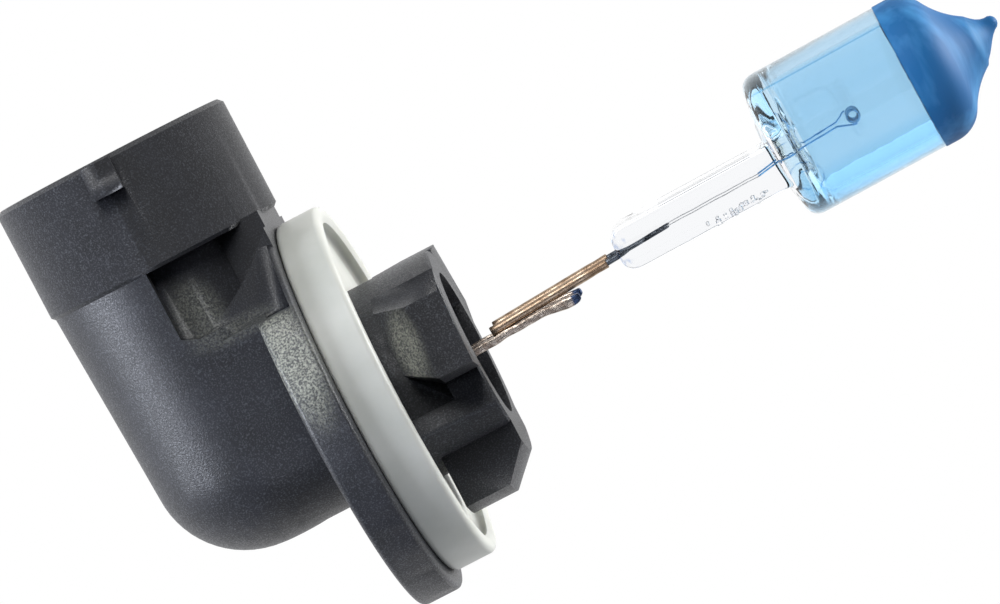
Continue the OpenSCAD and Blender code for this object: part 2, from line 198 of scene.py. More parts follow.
@dataclass(frozen=True)
class MouldedNylon(Finish):
    """Glass-filled nylon, moulded against a spark-eroded tool: charcoal and pitted, with painted glints on its
    grains, painted coarse sparkle and painted shade on the connector's front.
    """

    roughness: float = 0.42
    dark: str = "#1b1c20"
    light: str = "#26272d"
    painted_glint: str = "#5d6066"
    painted_sparkle: str = "#9c9e92"
    mottle: float = 2.6
    grain: float = 0.1
    coarse: float = 0.13
    painted_glint_share: float = 0.55
    sparkle_speck_share: tuple[float, float] = (0.12, 0.9)
    gloss_spread: tuple[float, float] = (0.12, -0.1)
    pit_depth: float = 0.04
    sparkle_zones: tuple[PaintedSparkleZone, ...] = ()
    seam_x: float = -10.6
    seam_half: float = 0.06
    seam_z: float = 8.0
    seam_fade: float = 1.5
    front_shade: float = 0.6

    def dress(self, add: Adder, place: Socket) -> dict[str, Any]:
        """Mottled charcoal with painted glints on light grains, painted coarse sparkle in its zones, and pits
        in the sheen.
        """
        mottle = add("TexNoise", {"Vector": place, "Scale": per_mm(self.mottle), "Detail": 4.0})
        body = add("ValToRGB", {0: mottle}, ((0.3, self.dark), (0.75, self.light)))
        pits_and_glints = add("TexNoise", {"Vector": place, "Scale": per_mm(self.grain), "Detail": 1.0})
        # Painted highlight: where the fine grain noise is high, the colour is lightened towards a glint colour,
        # as if the lights caught it.
        painted_glint_mask = add("MapRange", {0: pits_and_glints, 1: 0.5, 2: 0.74, 4: self.painted_glint_share})
        glinted_body = add("Mix", {0: painted_glint_mask, 6: body, 7: linear(self.painted_glint)}, data_type="RGBA")
        # Painted highlight: coarse light specks, mixed into the colour only inside the sparkle zones, stand in
        # for where the lights catch the grain.
        sparkle_noise = add("TexNoise", {"Vector": place, "Scale": per_mm(self.coarse), "Detail": 2.0})
        least, most = self.sparkle_speck_share
        sparkle_specks = add("MapRange", {0: sparkle_noise, 1: 0.4, 2: 0.64, 3: least, 4: most})
        share = add("Math", {0: self.painted_sparkle_share(add, place), 1: sparkle_specks}, operation="MULTIPLY")
        # Painted shade: the connector in front of the parting line is darkened, as on the side turned away from
        # the key light.
        half = add("Mix", {0: self.shaded_front_half(add, place), 6: glinted_body, 7: (self.front_shade,) * 3 + (1.0,)},
                   data_type="RGBA", blend_type="MULTIPLY")
        dull, glossy = (self.roughness + spread for spread in self.gloss_spread)
        return {
            "Base Color": add("Mix", {0: share, 6: half, 7: linear(self.painted_sparkle)}, data_type="RGBA"),
            "Roughness": add("MapRange", {0: pits_and_glints, 1: 0.3, 2: 0.75, 3: dull, 4: glossy}),
            "Normal": add("Bump", {"Height": pits_and_glints, "Strength": 0.5, "Distance": self.pit_depth * MM}),
        }

    def painted_sparkle_share(self, add: Adder, place: Socket) -> bpy.types.Node:
        """Share of painted sparkle at a place: most in the middle of each zone, none outside it."""
        shares = (zone.share(add, place) for zone in self.sparkle_zones)
        return reduce(lambda most, share: add("Math", {0: most, 1: share}, operation="MAXIMUM"), shares)

    def shaded_front_half(self, add: Adder, place: Socket) -> bpy.types.Node:
        """One on the connector in front of the mould's parting line, where painted shade darkens the side
        turned from the key light, else none.
        """
        axes = add("SeparateXYZ", {0: place}).outputs
        ahead = add("MapRange", {0: axes["X"], 1: (self.seam_x - self.seam_half) * MM,
                                 2: (self.seam_x + self.seam_half) * MM})
        above = add("MapRange", {0: axes["Z"], 1: self.seam_z * MM, 2: (self.seam_z + self.seam_fade) * MM})
        return add("Math", {0: ahead, 1: above}, operation="MULTIPLY")


@dataclass(frozen=True)
class SiliconeRubber(Finish):
    """Off-white silicone, moulded smooth: light goes a little way in, so edges and shadows stay soft."""

    roughness: float = 0.42
    warm: str = "#cbccc6"
    cool: str = "#bec0b9"
    cloud: float = 4.0
    skin: float = 0.35
    skin_depth: float = 0.04
    light_depth: float = 0.7

    def dress(self, add: Adder, place: Socket) -> dict[str, Any]:
        """Clouded off-white with a waxy depth and faint flow marks."""
        cloud = add("TexNoise", {"Vector": place, "Scale": per_mm(self.cloud), "Detail": 4.0})
        skin = add("TexNoise", {"Vector": place, "Scale": per_mm(self.skin), "Detail": 2.0})
        return {
            "Base Color": add("ValToRGB", {0: cloud}, ((0.35, self.cool), (0.7, self.warm))),
            "Normal": add("Bump", {"Height": skin, "Strength": 0.12, "Distance": self.skin_depth * MM}),
            "Subsurface Weight": 0.35,
            "Subsurface Radius": (1.0, 0.95, 0.85),
            "Subsurface Scale": self.light_depth * MM,
        }


@dataclass(frozen=True)
class EpoxyResin(Finish):
    """Black casting resin, poured and cured: glossy, with a wavy meniscus."""

    roughness: float = 0.25
    black: str = "#101214"
    sheen: str = "#1e2326"
    wave: float = 2.2
    wave_depth: float = 0.2

    def dress(self, add: Adder, place: Socket) -> dict[str, Any]:
        """Near-black with slow waves."""
        wave = add("TexNoise", {"Vector": place, "Scale": per_mm(self.wave), "Detail": 1.0})
        return {
            "Base Color": add("ValToRGB", {0: wave}, ((0.3, self.black), (0.8, self.sheen))),
            "Normal": add("Bump", {"Height": wave, "Strength": 0.6, "Distance": self.wave_depth * MM}),
        }


@dataclass(frozen=True)
class DrawnMetal(Finish):
    """Metal drawn through a die or rolled: fine scratches run along the piece, over patches of oxide."""

    metallic: float = 1.0
    roughness: float = 0.3
    bright: str = "#b8a98e"
    dull: str = "#7d6f5a"
    patch: float = 0.9
    scratch: float = 0.06
    stretch: float = 14.0
    depth: float = 0.02
    oxide_rough: float = 0.2

    def dress(self, add: Adder, place: Socket) -> dict[str, Any]:
        """Patchy metal with scratches stretched along X."""
        patches = add("TexNoise", {"Vector": place, "Scale": per_mm(self.patch), "Detail": 5.0})
        drawn = add("Mapping", {"Vector": place, "Scale": (1 / self.stretch, 1.0, 1.0)})
        lines = add("TexNoise", {"Vector": drawn, "Scale": per_mm(self.scratch), "Detail": 2.0})
        return {
            "Base Color": add("ValToRGB", {0: patches}, ((0.36, self.dull), (0.62, self.bright))),
            "Roughness": add("MapRange", {0: patches, 1: 0.35, 2: 0.65, 3: self.roughness + self.oxide_rough,
                                          4: self.roughness}),
            "Normal": add("Bump", {"Height": lines, "Strength": 0.5, "Distance": self.depth * MM}),
        }


@dataclass(frozen=True)
class WeldedStrip(DrawnMetal):
    """Rolled strip whose end was melted by the weld: bright along its length, blue-black at the end."""

    heat: str = "#3c4a66"
    heat_from: float = 11.0
    heat_to: float = 11.2

    def dress(self, add: Adder, place: Socket) -> dict[str, Any]:
        """Drawn metal that turns to blue-black oxide at the weld."""
        metal = super().dress(add, place)
        along = add("SeparateXYZ", {0: place}).outputs["X"]
        share = add("MapRange", {0: along, 1: self.heat_from * MM, 2: self.heat_to * MM})
        stained = add("Mix", {0: share, 6: metal["Base Color"], 7: linear(self.heat)}, data_type="RGBA")
        return metal | {"Base Color": stained}


@dataclass(frozen=True)
class FusedQuartz(Finish):
    """Fused quartz worked in a flame: clear, glossy, faintly wavy."""

    roughness: float = 0.0
    clear: str = "#fbfcfe"
    smoke: str = "#4f83cc"
    smoke_full: float = 16.0
    smoke_end: float = 16.7
    smoke_drift: float = 2.6
    smoke_cloud: float = 0.5
    flow: float = 1.4
    flow_depth: float = 0.05

    def dress(self, add: Adder, place: Socket) -> dict[str, Any]:
        """Clear glass with flow lines along the tube and a faint blue smoke at the foot's free end."""
        flow = add("TexNoise", {"Vector": place, "Scale": per_mm(self.flow), "Detail": 2.0})
        cloud = add("TexNoise", {"Vector": place, "Scale": per_mm(self.smoke_cloud), "Detail": 2.0})
        along = add("SeparateXYZ", {0: place}).outputs["X"]
        drift = add("Math", {0: cloud, 1: self.smoke_drift * MM, 2: along}, operation="MULTIPLY_ADD")
        share = add("MapRange", {0: drift, 1: self.smoke_full * MM, 2: self.smoke_end * MM})
        return {
            "Base Color": add("ValToRGB", {0: share}, ((0.0, self.smoke), (1.0, self.clear))),
            "Normal": add("Bump", {"Height": flow, "Strength": 0.2, "Distance": self.flow_depth * MM}),
            "Transmission Weight": 1.0,
            "IOR": QUARTZ_IOR,
        }


@dataclass(frozen=True)
class InterferenceFilm(Finish):
    """Oxide interference film on quartz: a clear blue filter that thins out towards the barrel's base.

    On the near side its tint follows the bands of runs, which are painted light: paler at the top and bottom
    edges, a painted reflection of grazing light, with a deeper band near the bottom and a thin darker line near
    the top, a painted refraction line. It also swirls in rings round two places at the base.
    """

    roughness: float = 0.02
    blue: str = "#cdeafa"
    faint: str = "#e9f5fd"
    thin_to: float = 26.6
    full_from: float = 28.2
    cloud: float = 3.0
    drift: float = 1.2
    axis_rise: float = 1.48
    axis_tilt: float = 1.2
    reach: float = 4.85
    near_edge: float = 1.0
    runs: Stops = (
        (0.0, "#d4ecf9"), (0.05, "#a9d8f4"), (0.2, "#b4dff7"), (0.3, "#cdeafa"), (0.882, "#cdeafa"),
        (0.888, "#6fbbe2"), (0.896, "#cfe9f8"), (1.0, "#e6f4fc"))
    swirls: tuple[tuple[float, float], ...] = ((27.25, 3.75), (27.8, 0.05))
    swirl_reach: float = 1.7
    rings: Stops = (
        (0.3, "#ffffff"), (0.34, "#a5cfec"), (0.38, "#ffffff"), (0.58, "#ffffff"), (0.63, "#4a9bd3"),
        (0.67, "#ffffff"))
    wander: float = 0.8
    bend: float = 0.7

    def dress(self, add: Adder, place: Socket) -> dict[str, Any]:
        """Light that goes through turns blue, less so near the base; on the near side, painted pale edges and a
        painted line run along the barrel.
        """
        axes = add("SeparateXYZ", {0: place}).outputs
        near_side = add("MapRange", {0: axes["Y"], 1: -self.near_edge * MM, 2: 0.0, 3: 1.0, 4: 0.0})
        colour = self.banded(add, place, axes, near_side)
        wander = add("TexNoise", {"Vector": place, "Scale": per_mm(self.wander)})
        bent = add("VectorMath", {0: wander.outputs["Color"], 1: (self.bend * MM,) * 3, 2: place},
                   operation="MULTIPLY_ADD")
        flat = add("VectorMath", {0: bent, 1: (1.0, 0.0, 1.0)}, operation="MULTIPLY")
        faded = add("MapRange", {0: wander, 1: 0.4, 2: 0.6, 3: 0.1})
        shown = add("Math", {0: near_side, 1: faded}, operation="MULTIPLY")
        for x, z in self.swirls:
            gap = add("VectorMath", {0: flat, 1: (x * MM, 0.0, z * MM)}, operation="DISTANCE")
            near = add("MapRange", {0: gap, 1: 0.0, 2: self.swirl_reach * MM})
            ring = add("ValToRGB", {0: near}, self.rings)
            colour = add("Mix", {0: shown, 6: colour, 7: ring}, data_type="RGBA", blend_type="MULTIPLY")
        return {"Base Color": colour, "Transmission Weight": 1.0, "IOR": QUARTZ_IOR}

    def banded(self, add: Adder, place: Socket, axes: Any, near_side: bpy.types.Node) -> bpy.types.Node:
        """The film's tint without its swirls, with the painted edge bands and the painted line on the near
        side.

        Args:
            add: adds a node to the material.
            place: the socket with the object coordinates.
            axes: the sockets with each of them.
            near_side: the share of the near side at a place.

        Returns:
            The node with the tint.
        """
        cloud = add("TexNoise", {"Vector": place, "Scale": per_mm(self.cloud), "Detail": 2.0})
        drift = add("Math", {0: cloud, 1: self.drift * MM, 2: axes["X"]}, operation="MULTIPLY_ADD")
        share = add("MapRange", {0: drift, 1: self.thin_to * MM, 2: self.full_from * MM},
                    interpolation_type="SMOOTHSTEP")
        level = add("Math", {0: axes["X"], 1: -math.tan(math.radians(self.axis_tilt)), 2: axes["Z"]},
                    operation="MULTIPLY_ADD")
        height = add("MapRange", {0: level, 1: (self.axis_rise - self.reach) * MM,
                                  2: (self.axis_rise + self.reach) * MM})
        # Painted reflection and refraction: pale top and bottom edges and a thin dark line across the barrel,
        # on its near side.
        across = add("ValToRGB", {0: height}, self.runs)
        tint = add("Mix", {0: near_side, 6: linear(self.blue), 7: across}, data_type="RGBA")
        return add("Mix", {0: share, 6: linear(self.faint), 7: tint}, data_type="RGBA")


@dataclass(frozen=True)
class BlueLacquer(Finish):
    """Heat-proof blue lacquer, dipped and drained: satin, paler where it ran thin, streaked round the tip."""

    roughness: float = 0.62
    deep: str = "#0369a8"
    pale: str = "#3a93cf"
    streak: float = 1.5
    squeeze: float = 0.22
    lean: float = 38.0
    run_depth: float = 0.15

    def dress(self, add: Adder, place: Socket) -> dict[str, Any]:
        """Deep blue with pale runs that lean round the dome."""
        turned = add("Mapping", {"Vector": place, "Rotation": (0.0, math.radians(self.lean), 0.0),
                                 "Scale": (1.0, 1.0, self.squeeze)})
        runs = add("TexNoise", {"Vector": turned, "Scale": per_mm(self.streak), "Detail": 3.0})
        return {
            "Base Color": add("ValToRGB", {0: runs}, ((0.45, self.deep), (0.72, self.pale))),
            "Normal": add("Bump", {"Height": runs, "Strength": 0.2, "Distance": self.run_depth * MM}),
            "Specular IOR Level": 0.3,
            "Transmission Weight": 0.3,
        }


@dataclass(frozen=True)
class PaperSweep(Finish):
    """White seamless studio paper: matt and lit evenly."""

    roughness: float = 0.9
    tooth: float = 8.0
    glow: float = 0.9

    def dress(self, add: Adder, place: Socket) -> dict[str, Any]:
        """White with the faint tooth of paper."""
        tooth = add("TexNoise", {"Vector": place, "Scale": per_mm(self.tooth), "Detail": 2.0})
        return {
            "Base Color": add("ValToRGB", {0: tooth}, ((0.0, "#fbfbfb"), (1.0, "#ffffff"))),
            "Emission Color": linear("#ffffff"),
            "Emission Strength": self.glow,
        }


# Painted sparkle zones, where the lights catch the grain: the flange rim, the near tab's ramp, the pocket under
# the shroud and the ledge over the elbow.
NYLON = MouldedNylon("glass_filled_nylon", sparkle_zones=(
    PaintedSparkleZone((-4.9, -11.0, 4.4), (1.8, 4.5, 5.0), 1.0),
    PaintedSparkleZone((1.0, -8.2, 2.4), (1.3, 1.6, 3.0), 0.8),
    PaintedSparkleZone((-9.4, -6.5, 9.6), (1.8, 3.0, 2.6), 0.3),
    PaintedSparkleZone((-7.4, -8.0, 7.9), (3.6, 3.0, 0.9), 0.3),
))
SILICONE = SiliconeRubber("silicone_rubber")
RESIN = EpoxyResin("black_potting_resin")
TINNED_BRASS = DrawnMetal("tinned_brass", bright="#d3cdbd", dull="#a39a86", patch=1.5)
NICKEL_STRIP = WeldedStrip("rolled_nickel_iron_strip", roughness=0.26, bright="#d3c6b8", dull="#96867a",
                           patch=0.45, depth=0.06)
BRONZE_TUBE = DrawnMetal("heat_stained_bronze_tube", bright="#b9a48e", dull="#947c66", patch=0.7, depth=0.012)
MOLYBDENUM_WIRE = DrawnMetal("oxidised_molybdenum_wire", roughness=0.38, bright="#6d737b", dull="#33383f",
                             patch=0.5)
MOLYBDENUM_FOIL = DrawnMetal("molybdenum_foil", bright="#a9adb2", dull="#7e8389", patch=0.8)
# Painted light: the inner wires and the coil are given the blue that light takes through the film in front of
# them, and made lighter to stand in for the light on them.
FILM_BLUE_INNER_WIRE = DrawnMetal("molybdenum_wire_painted_film_blue", roughness=0.25, bright="#7fb4e0", dull="#4a8cc4", patch=0.8)
FILM_BLUE_TUNGSTEN = DrawnMetal("tungsten_wire_painted_film_blue", roughness=0.25, bright="#9cc0de", dull="#4f86b2", patch=0.4)
QUARTZ = FusedQuartz("fused_quartz")
FILM = InterferenceFilm("blue_interference_film")
LACQUER = BlueLacquer("blue_dome_lacquer")
PAPER = PaperSweep("white_studio_paper")


# ---- Stock and tools ----

class Pick(Enum):
    """What a selection is made of."""

    FACES = "FACE"
    POINTS = "VERT"


@dataclass(frozen=True)
class Ring:
    """One section of a drawn-out piece: its centre, its radius, its height share and how far it leans up."""

    x: float
    r: float
    z: float = 0.0
    flat: float = 1.0
    lean: float = 0.0

    @property
    def centre(self) -> Vector:
        """The ring's centre, in metres."""
        return Vector((self.x, 0.0, self.z)) * MM


def arc(x: float, r: float, radius: float, start: float, end: float, steps: int = 6) -> list[Ring]:
    """Rings along an arc of a profile.

    Args:
        x: the arc centre's place along the axis.
        r: the arc centre's distance from the axis.
        radius: the arc's radius.
        start: its first angle, in degrees, from the axis's own direction.
        end: its last angle.
        steps: how many stretches it is cut into.

    Returns:
        One ring for each point.
    """
    angles = [math.radians(start + (end - start) * i / steps) for i in range(steps + 1)]
    return [Ring(x + radius * math.cos(a), r + radius * math.sin(a)) for a in angles]


def at_rest() -> None:
    """Leaves edit mode and deselects everything."""
    if bpy.context.object and bpy.context.object.mode != "OBJECT":
        bpy.ops.object.mode_set(mode="OBJECT")
    bpy.ops.object.select_all(action="DESELECT")


class Stock:
    """A piece being worked: one mesh object, shaped by operators and then fitted to the frame."""

    MERGE = 0.0005 * MM
    MERGE_CAD = 0.001 * MM
    FLAT = math.radians(0.5)

    def __init__(self, name: str, add: Callable[..., Any], **size: Any) -> None:
        """Adds a primitive and applies its place.

        Args:
            name: the piece's name.
            add: the operator that adds the primitive.
            size: the operator's settings, in metres.
        """
        at_rest()
        add(**size)
        self.piece = bpy.context.active_object
        self.piece.name = self.piece.data.name = name
        bpy.ops.object.transform_apply(location=True, rotation=True, scale=True)

    @classmethod
    def drawn(cls, name: str, rings: Sequence[Ring], sides: int = 64, quarter: bool = False) -> "Stock":
        """Extrudes a circle through rings along X, and closes both ends.

        Args:
            name: the piece's name.
            rings: its sections, in order.
            sides: corners of the circle.
            quarter: turns the circle by half a side, so that four corners make a level bar.

        Returns:
            The piece.
        """
        first = rings[0]
        made = cls(name, bpy.ops.mesh.primitive_circle_add, vertices=sides, radius=first.r * MM,
                   location=first.centre, rotation=(0.0, math.pi / 2, 0.0))
        made.edit()
        if quarter:
            bpy.ops.transform.rotate(value=math.pi / sides, orient_axis="X", center_override=first.centre)
        bpy.ops.transform.resize(value=(1.0, 1.0, first.flat), center_override=first.centre)
        for last, ring in pairwise(rings):
            bpy.ops.mesh.extrude_region_move(TRANSFORM_OT_translate={"value": ring.centre - last.centre})
            grow = ring.r / last.r
            bpy.ops.transform.resize(value=(grow, grow, grow * ring.flat / last.flat),
                                     center_override=ring.centre)
            if ring.lean != last.lean:
                bpy.ops.transform.rotate(value=math.radians(ring.lean - last.lean), orient_axis="Y",
                                         center_override=ring.centre)
        return made.seal()

    @classmethod
    def copied(cls, name: str, node: str) -> "Stock":
        """Starts from a merged copy of a CAD node, with its flat faces made whole.

        Args:
            name: the piece's name.
            node: the CAD node to copy.

        Returns:
            The piece.
        """
        at_rest()
        made = cls.__new__(cls)
        made.piece = bpy.data.objects.new(name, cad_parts[node].data.copy())
        made.piece.data.name = name
        made.piece.data.materials.clear()
        bpy.context.collection.objects.link(made.piece)
        made.pick()
        made.edit()
        bpy.ops.mesh.remove_doubles(threshold=cls.MERGE_CAD)
        bpy.ops.mesh.dissolve_limited(angle_limit=cls.FLAT)
        at_rest()
        return made

    def pick(self) -> None:
        """Makes this piece the only selected and the active one."""
        at_rest()
        self.piece.select_set(True)
        bpy.context.view_layer.objects.active = self.piece

    def edit(self) -> None:
        """Goes into edit mode with all of it selected, by its points."""
        self.pick()
        bpy.ops.object.mode_set(mode="EDIT")
        bpy.ops.mesh.select_mode(type=Pick.POINTS.value)
        bpy.ops.mesh.select_all(action="SELECT")

    def choose(self, kind: Pick, test: Callable[[Any], bool]) -> None:
        """Selects the faces or points that pass a test, and stays in edit mode.

        Args:
            kind: what is selected.
            test: says of one face or point whether it is chosen.
        """
        self.edit()
        bpy.ops.mesh.select_mode(type=kind.value)
        bpy.ops.mesh.select_all(action="DESELECT")
        bpy.ops.object.mode_set(mode="OBJECT")
        for item in self.piece.data.polygons if kind is Pick.FACES else self.piece.data.vertices:
            item.select = test(item)
        bpy.ops.object.mode_set(mode="EDIT")

    def seal(self) -> "Stock":
        """Merges doubled points, closes open ends and turns the faces outwards."""
        self.edit()
        bpy.ops.mesh.remove_doubles(threshold=self.MERGE)
        bpy.ops.mesh.select_all(action="DESELECT")
        bpy.ops.mesh.select_non_manifold(extend=False)
        bpy.ops.mesh.fill_holes(sides=0)
        bpy.ops.mesh.select_all(action="SELECT")
        bpy.ops.mesh.normals_make_consistent(inside=False)
        at_rest()
        return self

    def invert(self) -> "Stock":
        """Turns the faces inwards, for a hollow inside another piece."""
        self.edit()
        bpy.ops.mesh.normals_make_consistent(inside=True)
        at_rest()
        return self

    def modify(self, kind: str, **settings: Any) -> "Stock":
        """Adds a modifier and applies it.

        Args:
            kind: the modifier's type.
            settings: its properties.

        Returns:
            The piece.
        """
        self.pick()
        modifier = self.piece.modifiers.new(kind.title(), kind)
        for name, value in settings.items():
            setattr(modifier, name, value)
        bpy.ops.object.modifier_apply(modifier=modifier.name)
        return self

    def soften(self, width: float, segments: int = 2, angle: float = 32.0) -> "Stock":
        """Rounds the sharp edges.

        Args:
            width: the rounding's width, in millimetres.
            segments: steps across it.
            angle: the least angle of an edge that is rounded.

        Returns:
            The piece.
        """
        return self.modify("BEVEL", width=width * MM, segments=segments, limit_method="ANGLE",
                           angle_limit=math.radians(angle), use_clamp_overlap=True, miter_outer="MITER_ARC")

    def cut(self, other: "Stock") -> "Stock":
        """Cuts another solid out of this one and deletes it."""
        self.modify("BOOLEAN", object=other.piece, operation="DIFFERENCE", solver="EXACT")
        bpy.data.objects.remove(other.piece)
        return self

    def join(self, others: Sequence["Stock"]) -> "Stock":
        """Makes other pieces part of this mesh, as they are."""
        self.pick()
        for other in others:
            other.piece.select_set(True)
        bpy.ops.object.join()
        return self

    def place(self, matrix: Matrix) -> "Stock":
        """Moves the mesh itself, so that the object stays at the origin."""
        self.pick()
        self.piece.matrix_world = matrix
        bpy.ops.object.transform_apply(location=True, rotation=True, scale=True)
        return self

    def copy(self, name: str, shift: Vector) -> "Stock":
        """Copies the piece with its own mesh.

        Args:
            name: the copy's name.
            shift: how far the copy lies from this one, in metres.

        Returns:
            The copy.
        """
        self.pick()
        bpy.ops.object.duplicate(linked=False)
        made = type(self).__new__(type(self))
        made.piece = bpy.context.active_object
        made.piece.name = made.piece.data.name = name
        return made.place(Matrix.Translation(shift))

    def smooth(self, angle: float = 35.0) -> "Stock":
        """Shades the piece smooth, with creases where it turns sharper than an angle."""
        self.pick()
        bpy.ops.object.shade_smooth_by_angle(angle=math.radians(angle))
        return self

    def fit(self, finish: Finish, slot: str, *nodes: str) -> "Stock":
        """Dresses the piece and fits it to the frame.

        Args:
            finish: its material.
            slot: the record's slot for it; not used.
            nodes: the CAD nodes that it stands for.

        Returns:
            The piece.
        """
        self.piece.data.materials.clear()
        self.piece.data.materials.append(finish.material())
        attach(self.piece, BODY)
        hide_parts(*nodes)
        log.info("%s: %d faces, for %s", self.piece.name, len(self.piece.data.polygons), ", ".join(nodes))
        return self


# ---- Places shared by several pieces ----

@dataclass(frozen=True)
class Layout:
    """Frames of the leads and the capsule, in millimetres and degrees, as the CAD model has them."""

    pinch_start: float = 14.9
    lead_tilt: float = 3.6
    lead_drop: float = 0.2
    lead_y: float = 2.2
    capsule_rise: float = 1.48
    capsule_tilt: float = 1.2
    pinch_drop: float = 0.8

    @property
    def leaning(self) -> Matrix:
        """The capsule's frame: its X axis is the barrel's axis."""
        return (Matrix.Translation((0.0, 0.0, self.capsule_rise * MM))
                @ Matrix.Rotation(-math.radians(self.capsule_tilt), 4, "Y"))

    @property
    def leads(self) -> Matrix:
        """The leads' frame: its origin is in the pinch's free end."""
        rise = (self.capsule_rise - self.pinch_drop - self.lead_drop
                + self.pinch_start * math.tan(math.radians(self.capsule_tilt)))
        return (Matrix.Translation((self.pinch_start * MM, 0.0, rise * MM))
                @ Matrix.Rotation(-math.radians(self.lead_tilt), 4, "Y"))

    def pair(self, right: Stock, names: Sequence[str], finish: Finish, slot: str,
             nodes: Sequence[str]) -> None:
        """Places a piece drawn on the middle plane on the right side, and a copy of it on the left.

        Args:
            right: the piece, already in the row's frame but on the middle plane.
            names: the two pieces' names, right first.
            finish: their material.
            slot: the record's slot.
            nodes: the CAD nodes they stand for, right first.
        """
        side = Vector((0.0, self.lead_y * MM, 0.0))
        left = right.copy(names[1], side)
        right.piece.name = right.piece.data.name = names[0]
        right.place(Matrix.Translation(-side))
        right.fit(finish, slot, nodes[0])
        left.fit(finish, slot, nodes[1])


LAYOUT = Layout()


# ---- Base ----

@dataclass
class BaseMoulding:
    """The moulded base: connector shroud, elbow, flange, neck and tabs."""

    edge: float = 0.14

    def build(self) -> None:
        """Rounds the moulding's sharp edges and dresses it."""
        Stock.copied("moulded_base", "base_housing").soften(self.edge).smooth(30.0).fit(
            NYLON, "housing_plastic", "base_housing")


@dataclass
class Seal:
    """The silicone ring in front of the flange: a web round the neck and a soft lip at the rim."""

    bore: float = 6.58
    outer: float = 12.2
    back: float = -3.4
    front: float = -0.4
    lip: float = 0.9
    web: float = -1.4
    round: float = 0.42

    def build(self) -> None:
        """Draws the ring through its closed profile and rounds it."""
        corner = self.round
        inner = self.outer - self.lip
        profile = [Ring(self.back, self.bore)]
        profile += arc(self.back + corner, self.outer - corner, corner, 180, 90)
        profile += arc(self.front - corner, self.outer - corner, corner, 90, 0)
        profile += [Ring(self.front, inner + 0.1), Ring(self.front - 0.12, inner - 0.06)]
        profile += arc(self.web + 0.5, inner - 0.7, 0.5, 50, 180, 4)
        profile += [Ring(self.web, self.bore + 0.2), Ring(self.web - 0.2, self.bore), profile[0]]
        ring = Stock.drawn("silicone_seal_ring", profile, sides=160)
        ring.soften(0.12, 2, 40.0).smooth(50.0).fit(SILICONE, "silicone", "sealing_ring")


# ---- Contacts and leads ----

@dataclass
class Contacts:
    """Blade terminals in the connector and the resin plug that closes the chamber in front of them."""

    edge: float = 0.09

    def build(self) -> None:
        """Softens copies of the stamped and poured solids and dresses them."""
        for side in ("right", "left"):
            node = f"blade_terminal_{side}"
            Stock.copied(f"tinned_blade_{side}", node).soften(self.edge).smooth().fit(
                TINNED_BRASS, "blade_metal", node)
        Stock.copied("resin_plug", "potting_plug").soften(self.edge).smooth().fit(
            RESIN, "potting", "potting_plug")


@dataclass
class SupportStrips:
    """Flat strips from the base to the welds under the sleeves, a little wavy, with a bulge at the end."""

    start: float = -25.1
    end: float = -3.4
    width: float = 0.8
    height: float = 0.52
    middle: float = -0.55
    wave: float = 0.05
    step: float = 0.45
    bend: float = 0.36
    seed: int = 7

    def build(self) -> None:
        """Draws one strip in uneven sections, rounds it and copies it."""
        radius = self.width / math.sqrt(2)
        share = self.height / self.width
        draw = random.Random(self.seed)
        rings = []
        count = int((self.end - self.start) / self.step)
        for i in range(count + 1):
            x = self.start + (self.end - self.start) * i / count
            free = min(1.0, max(0.0, (x + 13.0) / 3.0))
            bulge = math.exp(-((x - self.end + 0.75) / 0.42) ** 2)
            dip = -self.bend / (1 + math.exp(-(x - self.end + 1.7) / 0.3))
            shift = self.wave * draw.uniform(-1, 1) * free + dip
            rings.append(Ring(x, radius * (1 + 0.1 * bulge), self.middle + shift,
                              share * (1 + 0.28 * bulge + 0.08 * free * draw.uniform(-1, 1))))
        rings.append(Ring(self.end + 0.14, radius * 0.6, self.middle - self.bend + 0.06, share))
        strip = Stock.drawn("strip", rings, sides=4, quarter=True)
        strip.soften(0.16, 3, 50.0).modify("SUBSURF", levels=1, render_levels=1)
        strip.smooth(60.0).place(LAYOUT.leads)
        LAYOUT.pair(strip, ("rolled_strip_right", "rolled_strip_left"), NICKEL_STRIP, "strip_metal",
                    ("support_strip_right", "support_strip_left"))


@dataclass
class CrimpSleeves:
    """Thin tubes that join the strips to the lead pins, pressed flatter where they grip the pins."""

    start: float = -9.2
    end: float = -0.8
    radius: float = 0.315
    wall: float = 0.07
    crimps: tuple[float, ...] = (-1.6,)

    def build(self) -> None:
        """Draws one tube with a bore at each end and its crimps, and copies it."""
        bore = self.radius - self.wall
        rings = [Ring(self.start + 0.9, bore * 0.5), Ring(self.start + 0.8, bore),
                 Ring(self.start + 0.04, bore), Ring(self.start, bore + 0.03),
                 Ring(self.start, self.radius - 0.03), Ring(self.start + 0.04, self.radius)]
        x = self.start + 0.5
        while x < self.end - 0.1:
            pinch = sum(math.exp(-((x - c) / 0.4) ** 2) for c in self.crimps)
            rings.append(Ring(x, self.radius * (1 + 0.02 * pinch), 0.0, 1 - 0.09 * pinch))
            x += 0.16
        rings += [Ring(self.end - 0.04, self.radius), Ring(self.end, self.radius - 0.03),
                  Ring(self.end, bore + 0.03), Ring(self.end - 0.04, bore), Ring(self.end - 0.5, bore),
                  Ring(self.end - 0.6, bore * 0.5)]
        sleeve = Stock.drawn("sleeve", rings, sides=32).smooth(40.0).place(LAYOUT.leads)
        LAYOUT.pair(sleeve, ("crimped_tube_right", "crimped_tube_left"), BRONZE_TUBE, "sleeve_metal",
                    ("crimp_sleeve_right", "crimp_sleeve_left"))


